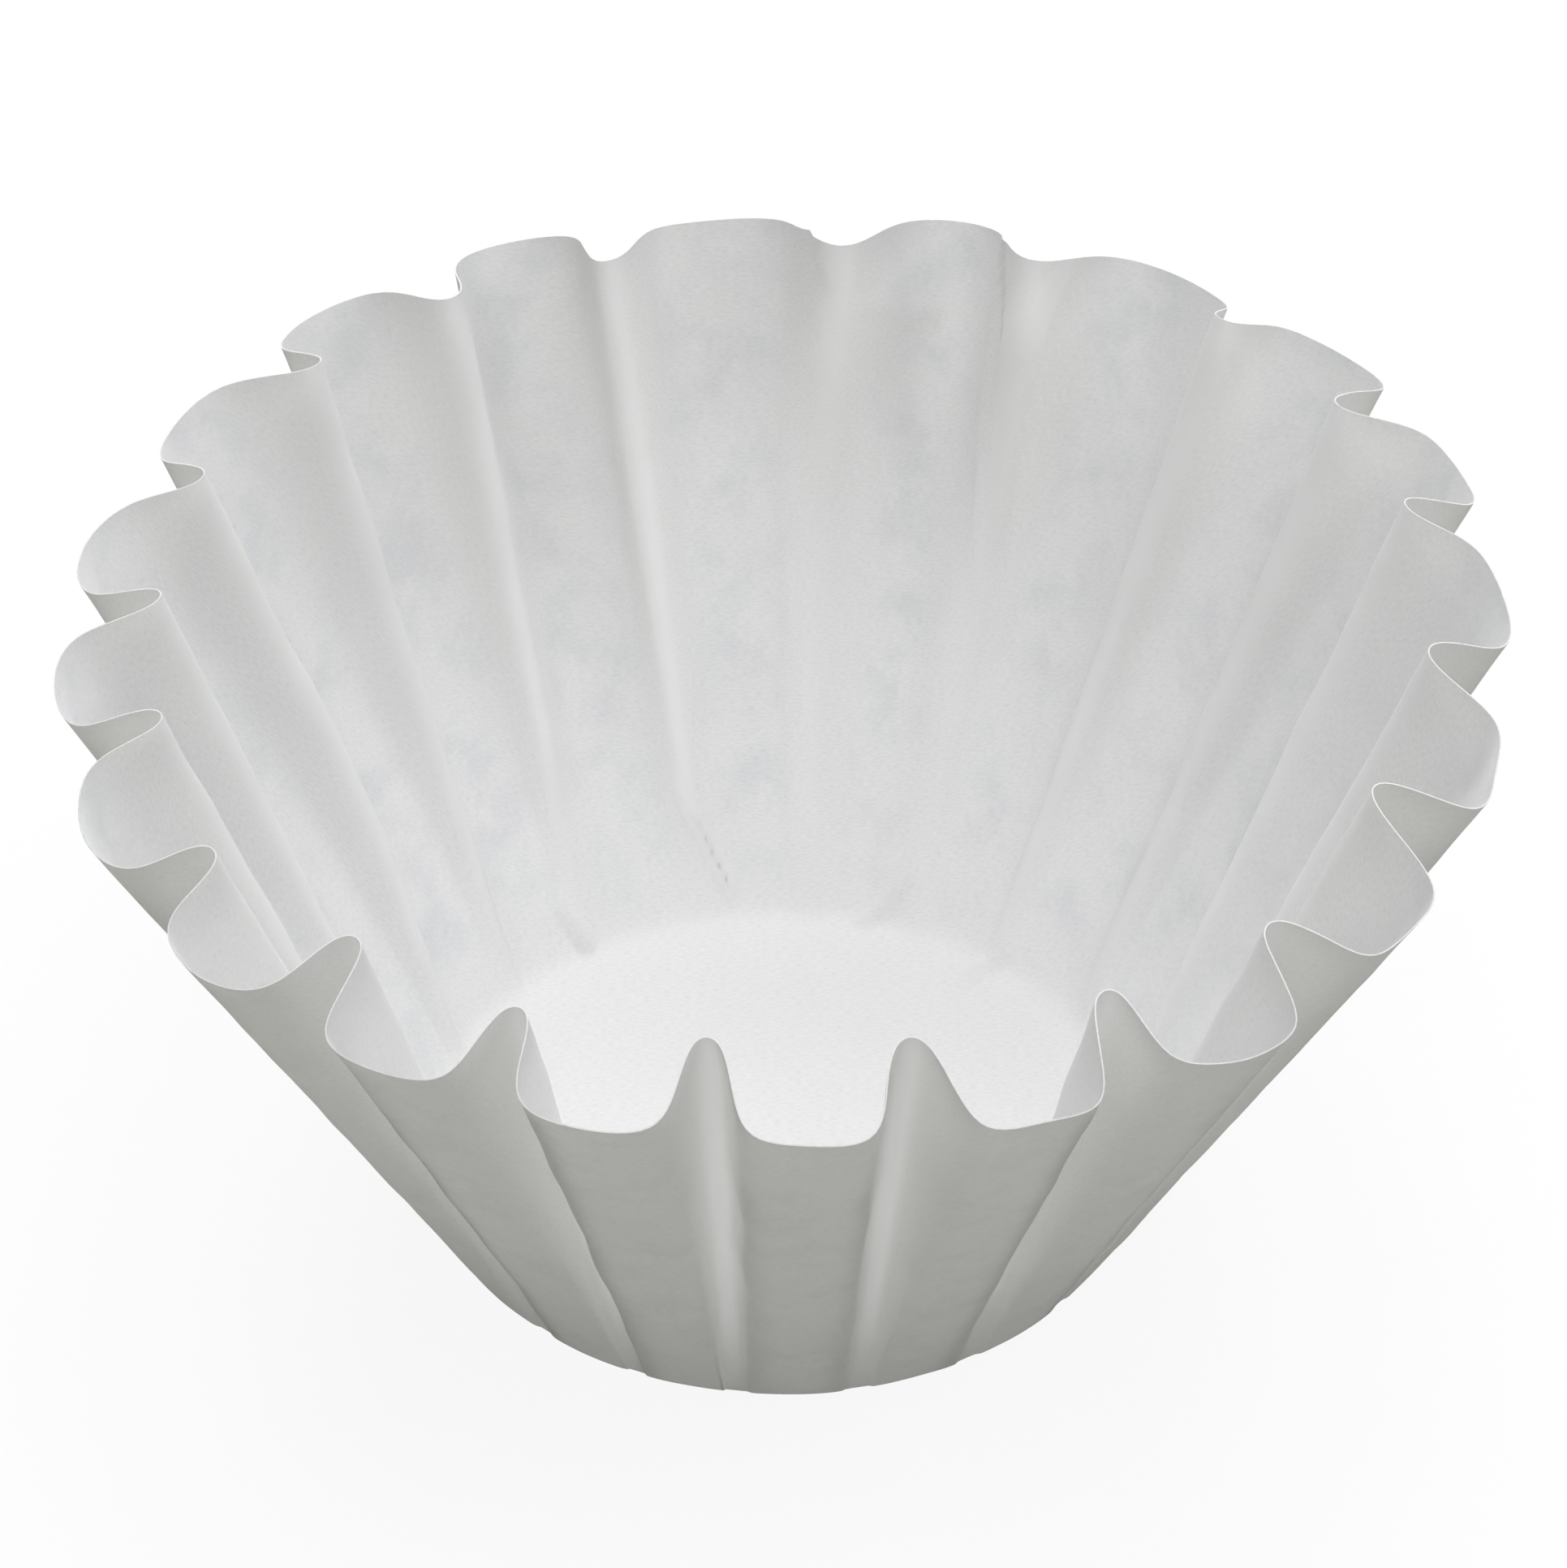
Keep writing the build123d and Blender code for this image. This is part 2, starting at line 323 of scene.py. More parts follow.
@dataclass(frozen=True)
class CrepedPaper:
    """Bleached wood-pulp filter paper, wet-laid and creped on a drying roll.

    The creping leaves short fine ridges that all run one way across the blank, and the
    pulp settles in faint cool clouds, so the eye sees a matt, finely grained white. The
    thin sheet lets some light through, most of all where the mould drew it over a fold.
    Sizes are in mm. The grain and the crepe are drawn coarser than on real paper, so that
    they show.
    """

    blank_width: float = 185.0
    pulp: str = "#FCFCFD"
    fleck: str = "#F1F1F1"
    cloud: str = "#F4F6F7"
    violet_cloud: str = "#F6F6F9"
    thin_pulp: str = "#FEFEFE"
    # Colour of the painted shade that the creases mix in
    painted_shade: str = "#8A8C86"
    seen_through: str = "#F7F9F1"
    thin_seen_through: str = "#FDFDFC"
    see_through_at_base: float = 0.18
    see_through_at_rim: float = 0.25
    see_through_when_thin: float = 0.07
    roughness: float = 0.9
    fibre_refraction: float = 1.5
    sheen: float = 0.25
    crepe_height: float = 0.008
    grain: Speckle = Speckle(length=0.6, width=0.16, detail=2.0, low=0.35, high=0.75)
    tints: Speckle = Speckle(length=12.0, width=12.0, low=0.4, high=0.6)
    clouds: Speckle = Speckle(length=5.5, width=5.5, detail=2.0, low=0.42, high=0.7)
    crepe: Speckle = Speckle(length=0.9, width=0.18)

    def colour(
        self,
        tree: bpy.types.NodeTree,
        place: bpy.types.NodeSocket,
        thin: bpy.types.NodeSocket,
        shade: bpy.types.NodeSocket,
    ) -> bpy.types.NodeSocket:
        """Colours the pulp: fine flecks all over, cool clouds on the flutes' crowns, and the
        painted shade of the creases.

        Args:
            tree: The material's node tree.
            place: Socket with the place on the blank, in mm.
            thin: Socket with how far the sheet is drawn thin.
            shade: Socket with how far painted shade darkens the sheet.

        Returns:
            Socket with the paper's own colour.
        """
        crown = add_node(tree, "ShaderNodeAttribute", {"attribute_name": "crown"})
        cool = add_node(
            tree,
            "ShaderNodeMix",
            {"data_type": "RGBA"},
            {
                "Factor": self.tints.pattern(tree, place),
                FIRST_COLOUR: linear_colour(self.cloud),
                SECOND_COLOUR: linear_colour(self.violet_cloud),
            },
        )
        on_crowns = add_node(
            tree,
            "ShaderNodeMath",
            {"operation": "MULTIPLY"},
            {0: self.clouds.pattern(tree, place), 1: crown.outputs["Fac"]},
        )
        layers = (
            ("MIX", self.grain.pattern(tree, place), linear_colour(self.fleck)),
            ("MULTIPLY", on_crowns.outputs["Value"], cool.outputs[MIXED_COLOUR]),
            ("MIX", thin, linear_colour(self.thin_pulp)),
            # Painted shade from the creases
            ("MIX", shade, linear_colour(self.painted_shade)),
        )
        paper = linear_colour(self.pulp)
        for blend, factor, colour in layers:
            layer = add_node(
                tree,
                "ShaderNodeMix",
                {"data_type": "RGBA", "blend_type": blend},
                {"Factor": factor, FIRST_COLOUR: paper, SECOND_COLOUR: colour},
            )
            paper = layer.outputs[MIXED_COLOUR]
        return paper

    def light_share(
        self,
        tree: bpy.types.NodeTree,
        thin: bpy.types.NodeSocket,
        shade: bpy.types.NodeSocket,
    ) -> bpy.types.NodeSocket:
        """Says how much of the light goes through the sheet.

        Args:
            tree: The material's node tree.
            thin: Socket with how far the sheet is drawn thin.
            shade: Socket with how far painted shade darkens the sheet.

        Returns:
            Socket with the share of light: more at the rim and where the sheet is thin, and
            less under painted shade.
        """
        rimward = add_node(tree, "ShaderNodeAttribute", {"attribute_name": "rimward"})
        plain = add_node(
            tree,
            "ShaderNodeMapRange",
            inputs={
                "Value": rimward.outputs["Fac"],
                "To Min": self.see_through_at_base,
                "To Max": self.see_through_at_rim,
            },
        )
        lit = add_node(
            tree,
            "ShaderNodeMath",
            {"operation": "MULTIPLY_ADD"},
            {0: thin, 1: self.see_through_when_thin, 2: plain.outputs["Result"]},
        )
        kept = add_node(tree, "ShaderNodeMath", {"operation": "SUBTRACT"}, {0: 1.0, 1: shade})
        share = add_node(
            tree,
            "ShaderNodeMath",
            {"operation": "MULTIPLY"},
            {0: lit.outputs["Value"], 1: kept.outputs["Value"]},
        )
        return share.outputs["Value"]

    def material(self) -> bpy.types.Material:
        """Builds the paper's material on the flat blank's coordinates, in millimetres.

        Each side of the sheet is seen only from its own side, and it scatters light both
        back and through, so the two skins look like one sheet.

        Returns:
            The new material.
        """
        material = bpy.data.materials.new("creped_filter_paper")
        material.use_nodes = True
        tree = material.node_tree
        tree.nodes.clear()
        blank = add_node(tree, "ShaderNodeUVMap", {"uv_map": "flat_blank"})
        placed = add_node(
            tree,
            "ShaderNodeMapping",
            inputs={"Vector": blank.outputs["UV"], "Scale": (self.blank_width,) * 3},
        )
        place = placed.outputs["Vector"]
        stretched = add_node(tree, "ShaderNodeAttribute", {"attribute_name": "stretched"})
        thin = stretched.outputs["Fac"]
        # Painted shade from the creases: it darkens the colour and lets less light through
        painted_shade = add_node(tree, "ShaderNodeAttribute", {"attribute_name": "shade"})
        shade = painted_shade.outputs["Fac"]
        height = add_node(
            tree,
            "ShaderNodeMath",
            {"operation": "MULTIPLY"},
            {0: self.crepe.pattern(tree, place), 1: self.crepe_height},
        )
        relief = add_node(
            tree,
            "ShaderNodeBump",
            inputs={
                "Strength": 1.0,
                "Distance": METRES_PER_MM,
                "Height": height.outputs["Value"],
            },
        ).outputs["Normal"]
        through = add_node(
            tree,
            "ShaderNodeMix",
            {"data_type": "RGBA"},
            {
                "Factor": thin,
                FIRST_COLOUR: linear_colour(self.seen_through),
                SECOND_COLOUR: linear_colour(self.thin_seen_through),
            },
        )
        paper = add_node(
            tree,
            "ShaderNodeBsdfPrincipled",
            inputs={
                "Base Color": self.colour(tree, place, thin, shade),
                "Roughness": self.roughness,
                "IOR": self.fibre_refraction,
                "Specular IOR Level": self.sheen,
                "Normal": relief,
            },
        )
        light_through = add_node(
            tree,
            "ShaderNodeBsdfTranslucent",
            inputs={"Color": through.outputs[MIXED_COLOUR], "Normal": relief},
        )
        both = add_node(
            tree,
            "ShaderNodeMixShader",
            inputs={
                "Fac": self.light_share(tree, thin, shade),
                1: paper.outputs["BSDF"],
                2: light_through.outputs["BSDF"],
            },
        )
        side = add_node(tree, "ShaderNodeNewGeometry")
        clear = add_node(tree, "ShaderNodeBsdfTransparent")
        skin = add_node(
            tree,
            "ShaderNodeMixShader",
            inputs={
                "Fac": side.outputs["Backfacing"],
                1: both.outputs["Shader"],
                2: clear.outputs["BSDF"],
            },
        )
        add_node(tree, "ShaderNodeOutputMaterial", inputs={"Surface": skin.outputs["Shader"]})
        return material


@dataclass
class FilterSheet:
    """The folded paper: its sizes, its surface as a grid, and its mesh.

    The grid's rows run round the sheet, from the middle of the base to the rim, and its
    columns run up it.
    """

    # Lengths, in mm
    base_radius: float = 30.0
    slant_length: float = 62.5
    thickness: float = 0.12
    corner_setback: float = 1.7
    base_fold_inset: float = 0.08
    nose_half_width: float = 1.25
    nose_round: float = 0.4
    crown_start: float = 8.0
    # Where a flank's middle is at the rim: how far round and how far out it is on the way
    # from fold to shoulder, and how much of the nose's half width is added
    flank_reach: float = 0.62
    flank_height: float = 0.5
    flank_widening: float = 0.2
    # Shares of a flute's paper, and the samples that soften a crease
    nose_paper: float = 0.13
    crest_paper: float = 0.4
    crease_softness: float = 0.06
    crease_samples: int = 9
    # Shares of a flute's pitch on the base
    base_nose: float = 0.1
    base_nose_in_front: float = 0.2
    base_flank: float = 0.07
    base_flank_in_front: float = 0.03
    base_flank_at_back: float = 0.19
    # Paper drawn thin over a fold: shares of a flute's paper, then its course up the wall
    thin_paper: float = 0.06
    thin_fade: float = 0.07
    thin_rise: float = 4.0
    thin_at_ends: float = 0.55
    # The grid, and the angle in degrees past which an edge is shaded sharp
    columns_per_corner: int = 6
    floor_shares: tuple[float, ...] = (0.06, 0.35, 0.65, 0.85)
    corner_rows: int = 6
    wall_rows: int = 44
    sharp_angle: float = 60.0
    # Unevenness left by pressing: its height and waves in mm, and how many waves there are
    cockle_height: float = 0.05
    cockle_waves: tuple[float, float] = (5.0, 16.0)
    cockle_count: int = 60
    seed: int = 11
    # What sets this sheet apart from a new one
    dents: tuple[Dent, ...] = DENTS
    sways: tuple[Sway, ...] = SWAYS
    fades: tuple[Fade, ...] = FADES
    creases: tuple[Crease, ...] = CREASES
    flutes: tuple[Flute, ...] = FLUTES

    @property
    def blank_radius(self) -> float:
        """Radius of the flat disc that the filter is pressed from."""
        return self.base_radius + self.slant_length

    @property
    def pitch(self) -> float:
        """Angle from fold to fold on the base, in degrees."""
        return 360.0 / len(self.flutes)

    @property
    def base_start(self) -> float:
        """Angle at which the first fold leaves the base, in degrees."""
        shifts = [flute.fold_angle - i * self.pitch for i, flute in enumerate(self.flutes)]
        return sum(shifts) / len(shifts)

    def rim_radius(self, lean: float) -> float:
        """Radius that a straight line of paper reaches when it leans out by this angle."""
        return self.base_radius + self.slant_length * math.sin(math.radians(lean))

    def flute_corners(self, flute: Flute, following: Flute) -> list[tuple[float, float]]:
        """Corners that steer one flute's section at the rim.

        Args:
            flute: The flute.
            following: The next flute round, whose fold ends this one.

        Returns:
            Angle in degrees and radius in mm of each corner, from fold nose to fold nose.
        """
        start = flute.fold_angle
        span = (following.fold_angle - start) % 360.0
        end = start + span
        start_radius = self.rim_radius(flute.fold_lean)
        end_radius = self.rim_radius(following.fold_lean)
        start_nose = math.degrees(self.nose_half_width / start_radius)
        end_nose = math.degrees(self.nose_half_width / end_radius)
        lead_radius = self.rim_radius(flute.lead_lean)
        trail_radius = self.rim_radius(flute.trail_lean)
        lead = flute.lead_share * span
        trail = (1 - flute.trail_share) * span
        lead_flank = start_radius + self.flank_height * (lead_radius - start_radius)
        trail_flank = end_radius + self.flank_height * (trail_radius - end_radius)
        return [
            (start + start_nose, start_radius - self.nose_round),
            (start + lead * self.flank_reach + start_nose * self.flank_widening, lead_flank),
            (start + lead, lead_radius),
            (start + span / 2, self.rim_radius(flute.crest_lean)),
            (end - trail, trail_radius),
            (end - trail * self.flank_reach - end_nose * self.flank_widening, trail_flank),
            (end - end_nose, end_radius - self.nose_round),
        ]

    def rim_plan(self) -> np.ndarray:
        """Draws the cut rim as seen from above.

        Returns:
            Points on the closed cubic curve that the flutes' corners steer, in mm.
        """
        corners = []
        for flute, following in zip(self.flutes, self.flutes[1:] + self.flutes[:1]):
            corners += self.flute_corners(flute, following)
        angles, radii = np.array(corners).T
        turns = np.radians(angles)
        steer = np.stack([radii * np.cos(turns), radii * np.sin(turns)], axis=1)
        share = (np.arange(self.columns_per_corner) / self.columns_per_corner)[:, None]
        rest = 1 - share
        # A cubic B-spline's weights of four corners in a row, times six
        weights = (
            rest**3,
            3 * share**3 - 6 * share**2 + 4,
            3 * rest**3 - 6 * rest**2 + 4,
            share**3,
        )
        pieces = [
            weight * np.roll(steer, 1 - step, axis=0)[:, None]
            for step, weight in enumerate(weights)
        ]
        return sum(pieces).reshape(-1, 2) / 6

    def flute_places(self, plan: np.ndarray) -> np.ndarray:
        """Counts the paper round the rim.

        Args:
            plan: The rim's points seen from above, in mm.

        Returns:
            Each point's place round the sheet, in flutes of paper from the first fold.
        """
        count = len(plan)
        per_flute = count // len(self.flutes)
        to_nose = self.columns_per_corner // 2
        steps = np.linalg.norm(plan - np.roll(plan, 1, axis=0), axis=1)
        steps = np.roll(steps, to_nose - 1).reshape(len(self.flutes), per_flute)
        shares = np.cumsum(steps, axis=1) / steps.sum(axis=1, keepdims=True)
        places = (shares + np.arange(len(self.flutes))[:, None]).ravel()
        return np.roll(places, 1 - to_nose)

    def pressed_share(self, share: float, nose: float, flank: float) -> float:
        """Share of a flute's pitch on the base that lies before a share of its paper.

        Args:
            share: Share of the flute's paper from its own fold to the next.
            nose: Share of the pitch taken by a fold's nose.
            flank: Share of the pitch taken by a flank.

        Returns:
            The share of the pitch, with the creases softened.
        """
        half_nose = self.nose_paper / 2
        half_flank = 0.5 - self.crest_paper / 2
        knots = np.array([-half_flank, -half_nose, half_nose, half_flank])
        values = np.array([-nose / 2 - flank, -nose / 2, nose / 2, nose / 2 + flank])
        knots = np.concatenate([knots, knots + 1])
        values = np.concatenate([values, values + 1])
        offsets = np.linspace(-self.crease_softness, self.crease_softness, self.crease_samples)
        return float(np.mean([np.interp(share + offset, knots, values) for offset in offsets]))

    def base_turns(self, places: np.ndarray) -> np.ndarray:
        """Finds where each line of paper meets the base, with the flanks nearly shut.

        Args:
            places: Places round the sheet, in flutes of paper.

        Returns:
            Angles on the base, in degrees.
        """
        whole = np.floor(places).astype(int)
        share = places - whole
        facing = -np.sin(np.radians(self.base_start + self.pitch * places))
        front = np.clip(facing, 0, 1)
        back = np.clip(-facing, 0, 1) ** 2
        nose = self.base_nose + (self.base_nose_in_front - self.base_nose) * front
        flank = (
            self.base_flank
            + (self.base_flank_in_front - self.base_flank) * front
            + (self.base_flank_at_back - self.base_flank) * back
        )
        placed = whole + np.array([self.pressed_share(*one) for one in zip(share, nose, flank)])
        shifts = np.array([flute.base_shift for flute in self.flutes])
        count = len(self.flutes)
        shift = shifts[whole % count] * (1 - share) + shifts[(whole + 1) % count] * share
        return self.base_start + self.pitch * placed + shift

    def base_edge(self, places: np.ndarray) -> np.ndarray:
        """Draws the base's edge, with the fold noses standing a little inside.

        Args:
            places: Places round the sheet, in flutes of paper.

        Returns:
            Points on the base's edge, in mm.
        """
        share = places - np.floor(places)
        nearest = np.minimum(share, 1 - share)
        flank = (nearest - self.nose_paper / 2) / (0.5 - (self.crest_paper + self.nose_paper) / 2)
        depth = 0.5 + 0.5 * np.cos(np.pi * np.clip(flank, 0, 1))
        radii = self.base_radius - self.base_fold_inset * depth
        angles = np.radians(self.base_turns(places))
        return np.stack([radii * np.cos(angles), radii * np.sin(angles), 0 * radii], axis=1)

    def opened_plan(self, plan: np.ndarray, places: np.ndarray) -> np.ndarray:
        """Opens the folds of the rim out, from each crest straight to the next.

        Args:
            plan: The rim's points seen from above, in mm.
            places: Each point's place round the sheet, in flutes of paper.

        Returns:
            The opened rim's points seen from above, in mm.
        """
        angle = np.unwrap(np.arctan2(plan[:, 1], plan[:, 0]))
        order = np.argsort(places)
        crests = np.arange(-1, len(self.flutes) + 1) + 0.5
        count = len(self.flutes)
        crest_angles = np.interp(crests % count, places[order], angle[order])
        crest_angles = np.unwrap(crest_angles)
        reach = np.linalg.norm(plan, axis=1)
        crest_reach = np.interp(crests % count, places[order], reach[order])
        opened_angle = np.interp(places, crests, crest_angles)
        opened_reach = np.interp(places, crests, crest_reach)
        return np.stack(
            [opened_reach * np.cos(opened_angle), opened_reach * np.sin(opened_angle)], axis=1
        )

    def raised(self, plan: np.ndarray) -> np.ndarray:
        """Rim points lifted to where the unstretched wall reaches at their radius."""
        reach = np.linalg.norm(plan, axis=1) - self.base_radius
        return np.column_stack([plan, np.sqrt(self.slant_length**2 - reach**2)])

    def outer_grid(self) -> tuple[np.ndarray, np.ndarray, np.ndarray]:
        """The sheet's outer side as rows from the base's middle to the rim.

        Returns:
            Points by row and column, each row's distance of paper from the middle of the
            blank, and each column's place round the sheet in flutes, all lengths in mm.
        """
        plan = self.rim_plan()
        places = self.flute_places(plan)
        low = self.base_edge(places)
        high = self.raised(plan)
        opened = self.raised(self.opened_plan(plan, places))
        outward = low / np.linalg.norm(low, axis=1, keepdims=True)
        upward = high - low
        upward /= np.linalg.norm(upward, axis=1, keepdims=True)
        on_base = low - outward * self.corner_setback
        on_wall = low + upward * self.corner_setback
        rows = [on_base * share for share in self.floor_shares]
        lengths = [share * (self.base_radius - self.corner_setback) for share in self.floor_shares]
        for share in np.linspace(0, 1, self.corner_rows):
            bend = on_base * (1 - share) ** 2 + low * 2 * share * (1 - share)
            rows.append(bend + on_wall * share**2)
            lengths.append(self.base_radius + self.corner_setback * (2 * share - 1))
        wall_length = self.slant_length - self.corner_setback
        for share in np.linspace(0, 1, self.wall_rows + 1)[1:]:
            above = self.corner_setback + share * wall_length
            opening = self.opening(places, above)[:, None]
            top = high * (1 - opening) + opened * opening
            rows.append(on_wall + (top - on_wall) * share)
            lengths.append(self.base_radius + above)
        return np.array(rows), np.array(lengths), places

    def opening(self, places: np.ndarray, above: float) -> np.ndarray:
        """Says how far each column's fold has opened out at one height.

        Args:
            places: Each column's place round the sheet, in flutes of paper.
            above: Millimetres of paper above the base edge.

        Returns:
            How far each column has opened, from 0 to 1.
        """
        opening = np.zeros_like(places)
        for fade in self.fades:
            rise = (fade.none_above - above) / (fade.none_above - fade.full_below)
            # It fades out to nothing at the crests, half a flute away
            near = np.clip(1 - np.abs(self.from_place(places, fade.around)) * 2, 0, 1)
            opened = fade.share * eased(min(max(rise, 0.0), 1.0)) * eased(near)
            opening = np.maximum(opening, opened)
        return opening

    def from_place(self, places: np.ndarray, around: float) -> np.ndarray:
        """Signed distance of each place from one place round the sheet, in flutes."""
        count = len(self.flutes)
        return (places - around + count / 2) % count - count / 2

    def flat_map(self, lengths: np.ndarray, places: np.ndarray) -> np.ndarray:
        """Lays the grid back on the flat blank.

        Args:
            lengths: Each row's distance of paper from the blank's middle, in mm.
            places: Each column's place round the sheet, in flutes of paper.

        Returns:
            Each grid point's place on the blank, in mm from its middle.
        """
        ends = []
        for radius, turns in (
            (self.base_radius, self.base_turns(places)),
            (self.blank_radius, self.base_start + self.pitch * places),
        ):
            angles = np.radians(turns)
            ends.append(radius * np.stack([np.cos(angles), np.sin(angles)], axis=1))
        inside = np.clip(lengths / self.base_radius, 0, 1)[:, None, None]
        above = np.clip((lengths - self.base_radius) / self.slant_length, 0, 1)[:, None, None]
        return ends[0] * inside * (1 - above) + ends[1] * above

    def cockle(self, flat: np.ndarray) -> np.ndarray:
        """Makes the slight unevenness that pressing leaves in the sheet.

        Args:
            flat: Each grid point's place on the flat blank, in mm.

        Returns:
            How far each point stands off, in mm square to the sheet.
        """
        rng = np.random.default_rng(self.seed)
        total = np.zeros(flat.shape[:2])
        for _ in range(self.cockle_count):
            wave = rng.uniform(*self.cockle_waves)
            turn, phase = rng.uniform(0, 2 * math.pi, 2)
            along = flat[..., 0] * math.cos(turn) + flat[..., 1] * math.sin(turn)
            total += np.sin(2 * math.pi * along / wave + phase) * wave
        return total * self.cockle_height / total.std()

    def pushed(self, lengths: np.ndarray, places: np.ndarray) -> np.ndarray:
        """Adds up the dents.

        Args:
            lengths: Each row's distance of paper from the blank's middle, in mm.
            places: Each column's place round the sheet, in flutes of paper.

        Returns:
            How far the dents push each grid point outward, in mm.
        """
        above = (lengths - self.base_radius)[:, None]
        flute_width = 2 * math.pi * lengths[:, None] / len(self.flutes)
        total = np.zeros((len(lengths), len(places)))
        for dent in self.dents:
            side = self.from_place(places, dent.around)[None, :] * flute_width / dent.half_width
            rise = (above - dent.above) / dent.half_height
            total += dent.depth * np.exp(-(side**2) - rise**2)
        return total

    def creased(self, flat: np.ndarray) -> tuple[np.ndarray, np.ndarray, np.ndarray]:
        """Reads the creases off the flat blank.

        Args:
            flat: Each grid point's place on the flat blank, in mm.

        Returns:
            How far the creases push each grid point outward, in mm, how far they draw the
            sheet thin there, and how far their painted shade darkens its outer and its inner side.
        """
        push = np.zeros(flat.shape[:2])
        thin = np.zeros(flat.shape[:2])
        shade = np.zeros((2, *flat.shape[:2]))
        for crease in self.creases:
            start, end = (
                self.flat_map(np.array([self.base_radius + above]), np.array([around]))[0, 0]
                for around, above in (crease.start, crease.end)
            )
            along = end - start
            share = np.clip((flat - start) @ along / (along @ along), 0, 1)
            gap = np.linalg.norm(flat - start - share[..., None] * along, axis=2)
            near = np.exp(-((gap / crease.half_width) ** 2))
            push += crease.height * near
            thin = np.maximum(thin, crease.drawn_thin * near)
            sides = np.array([crease.painted_shade_outside, crease.painted_shade_inside])
            shade = np.maximum(shade, sides[:, None, None] * near)
        return push, thin, shade

    def swayed(self, points: np.ndarray, lengths: np.ndarray, places: np.ndarray) -> np.ndarray:
        """Moves the folds that stray off their straight lines.

        Args:
            points: The grid, in mm.
            lengths: Each row's distance of paper from the blank's middle, in mm.
            places: Each column's place round the sheet, in flutes of paper.

        Returns:
            The moved grid, in mm.
        """
        above = (lengths - self.base_radius)[:, None]
        reach = np.linalg.norm(points[..., :2], axis=2, keepdims=True)
        outward = np.concatenate([points[..., :2] / reach, np.zeros_like(reach)], axis=2)
        across = np.stack([-outward[..., 1], outward[..., 0], outward[..., 2]], axis=2)
        moved = points.copy()
        for sway in self.sways:
            side = self.from_place(places, sway.around)[None, :] / sway.half_flutes
            rise = (above - sway.above) / sway.half_height
            amount = np.exp(-(side**2) - rise**2)[..., None]
            moved += amount * (outward * sway.outward + across * sway.sideways)
        return moved

    def stretched(self, lengths: np.ndarray, places: np.ndarray) -> np.ndarray:
        """Says how far the mould drew the sheet thin, most along the fold noses.

        Args:
            lengths: Each row's distance of paper from the blank's middle, in mm.
            places: Each column's place round the sheet, in flutes of paper.

        Returns:
            How far each grid point is drawn thin, from 0 to 1.
        """
        share = places - np.floor(places)
        past_nose = np.minimum(share, 1 - share) - self.thin_paper / 2
        near = 1 - np.clip(past_nose / self.thin_fade, 0, 1)
        heights = lengths - self.base_radius
        above = np.clip(heights / self.slant_length, 0, 1)
        swell = self.thin_at_ends + (1 - self.thin_at_ends) * np.sin(np.pi * above)
        rise = np.clip(above * self.thin_rise, 0, 1) * swell
        kept = 1 - np.array([self.opening(places, height) for height in heights])
        return rise[:, None] * (near**2)[None, :] * kept

    def crowns(self, lengths: np.ndarray, places: np.ndarray) -> np.ndarray:
        """Says how far each point belongs to the crown of a flute.

        Args:
            lengths: Each row's distance of paper from the blank's middle, in mm.
            places: Each column's place round the sheet, in flutes of paper.

        Returns:
            A value for each grid point, from 0 to 1 along the middle of a crown.
        """
        share = places - np.floor(places)
        aside = np.abs(share - 0.5) / self.crest_paper
        above = np.clip((lengths - self.base_radius) / self.crown_start, 0, 1)
        return above[:, None] * eased(np.clip(1 - aside, 0, 1))[None, :]

    @staticmethod
    def normals(points: np.ndarray) -> np.ndarray:
        """Finds the outward directions of a grid that closes on itself along its columns.

        Args:
            points: The grid.

        Returns:
            A unit vector for each grid point.
        """
        along = np.roll(points, -1, axis=1) - np.roll(points, 1, axis=1)
        up = np.gradient(points, axis=0)
        normals = np.cross(along, up)
        return normals / np.linalg.norm(normals, axis=2, keepdims=True)

    def build(self) -> bpy.types.Object:
        """Makes the sheet's mesh, with both its sides and its cut edge.

        Returns:
            The new object, in metres, with the flat blank as its UV map.
        """
        points, lengths, places = self.outer_grid()
        flat = self.flat_map(lengths, places)
        points = self.swayed(points, lengths, places)
        free = np.clip((lengths - self.base_radius) / self.corner_setback, 0, 1)[:, None]
        crease_push, crease_thin, crease_painted_shade = self.creased(flat)
        push = self.cockle(flat) * free + self.pushed(lengths, places) + crease_push
        outer = points + self.normals(points) * push[..., None]
        inner = outer - self.normals(outer) * self.thickness
        rimward = np.clip((lengths - self.base_radius) / self.slant_length, 0, 1)
        alike = {
            "stretched": np.maximum(self.stretched(lengths, places), crease_thin),
            "crown": self.crowns(lengths, places),
            "rimward": np.repeat(rimward[:, None], len(places), axis=1),
        }
        marks = {name: np.stack([mark, mark]) for name, mark in alike.items()}
        # Painted shade from the creases, for the outer and the inner side apart
        marks["shade"] = crease_painted_shade
        sheet = bpy.data.objects.new("creped_sheet", self.closed_mesh(outer, inner, flat, marks))
        bpy.context.scene.collection.objects.link(sheet)
        return sheet

    @staticmethod
    def faces(rows: int, columns: int) -> list[list[int]]:
        """Lists the faces of both sides, the cut edge and the two middles.

        Args:
            rows: Rows of the grid of one side.
            columns: Columns of that grid, which closes on itself along them.

        Returns:
            Each face's vertices: the outer side's come first, then the inner side's, then
            the outer and the inner middle.
        """
        side = rows * columns
        index = np.arange(side).reshape(rows, columns)
        turned = np.roll(index, -1, axis=1)
        skin = np.stack([index[:-1], turned[:-1], turned[1:], index[1:]], axis=2).reshape(-1, 4)
        edge = np.stack([index[-1], turned[-1], turned[-1] + side, index[-1] + side], axis=1)
        quads = np.concatenate([skin, skin[:, ::-1] + side, edge])
        middle = np.full(columns, 2 * side)
        fan = np.stack([turned[0], index[0], middle], axis=1)
        inner_fan = np.stack([index[0] + side, turned[0] + side, middle + 1], axis=1)
        return quads.tolist() + fan.tolist() + inner_fan.tolist()

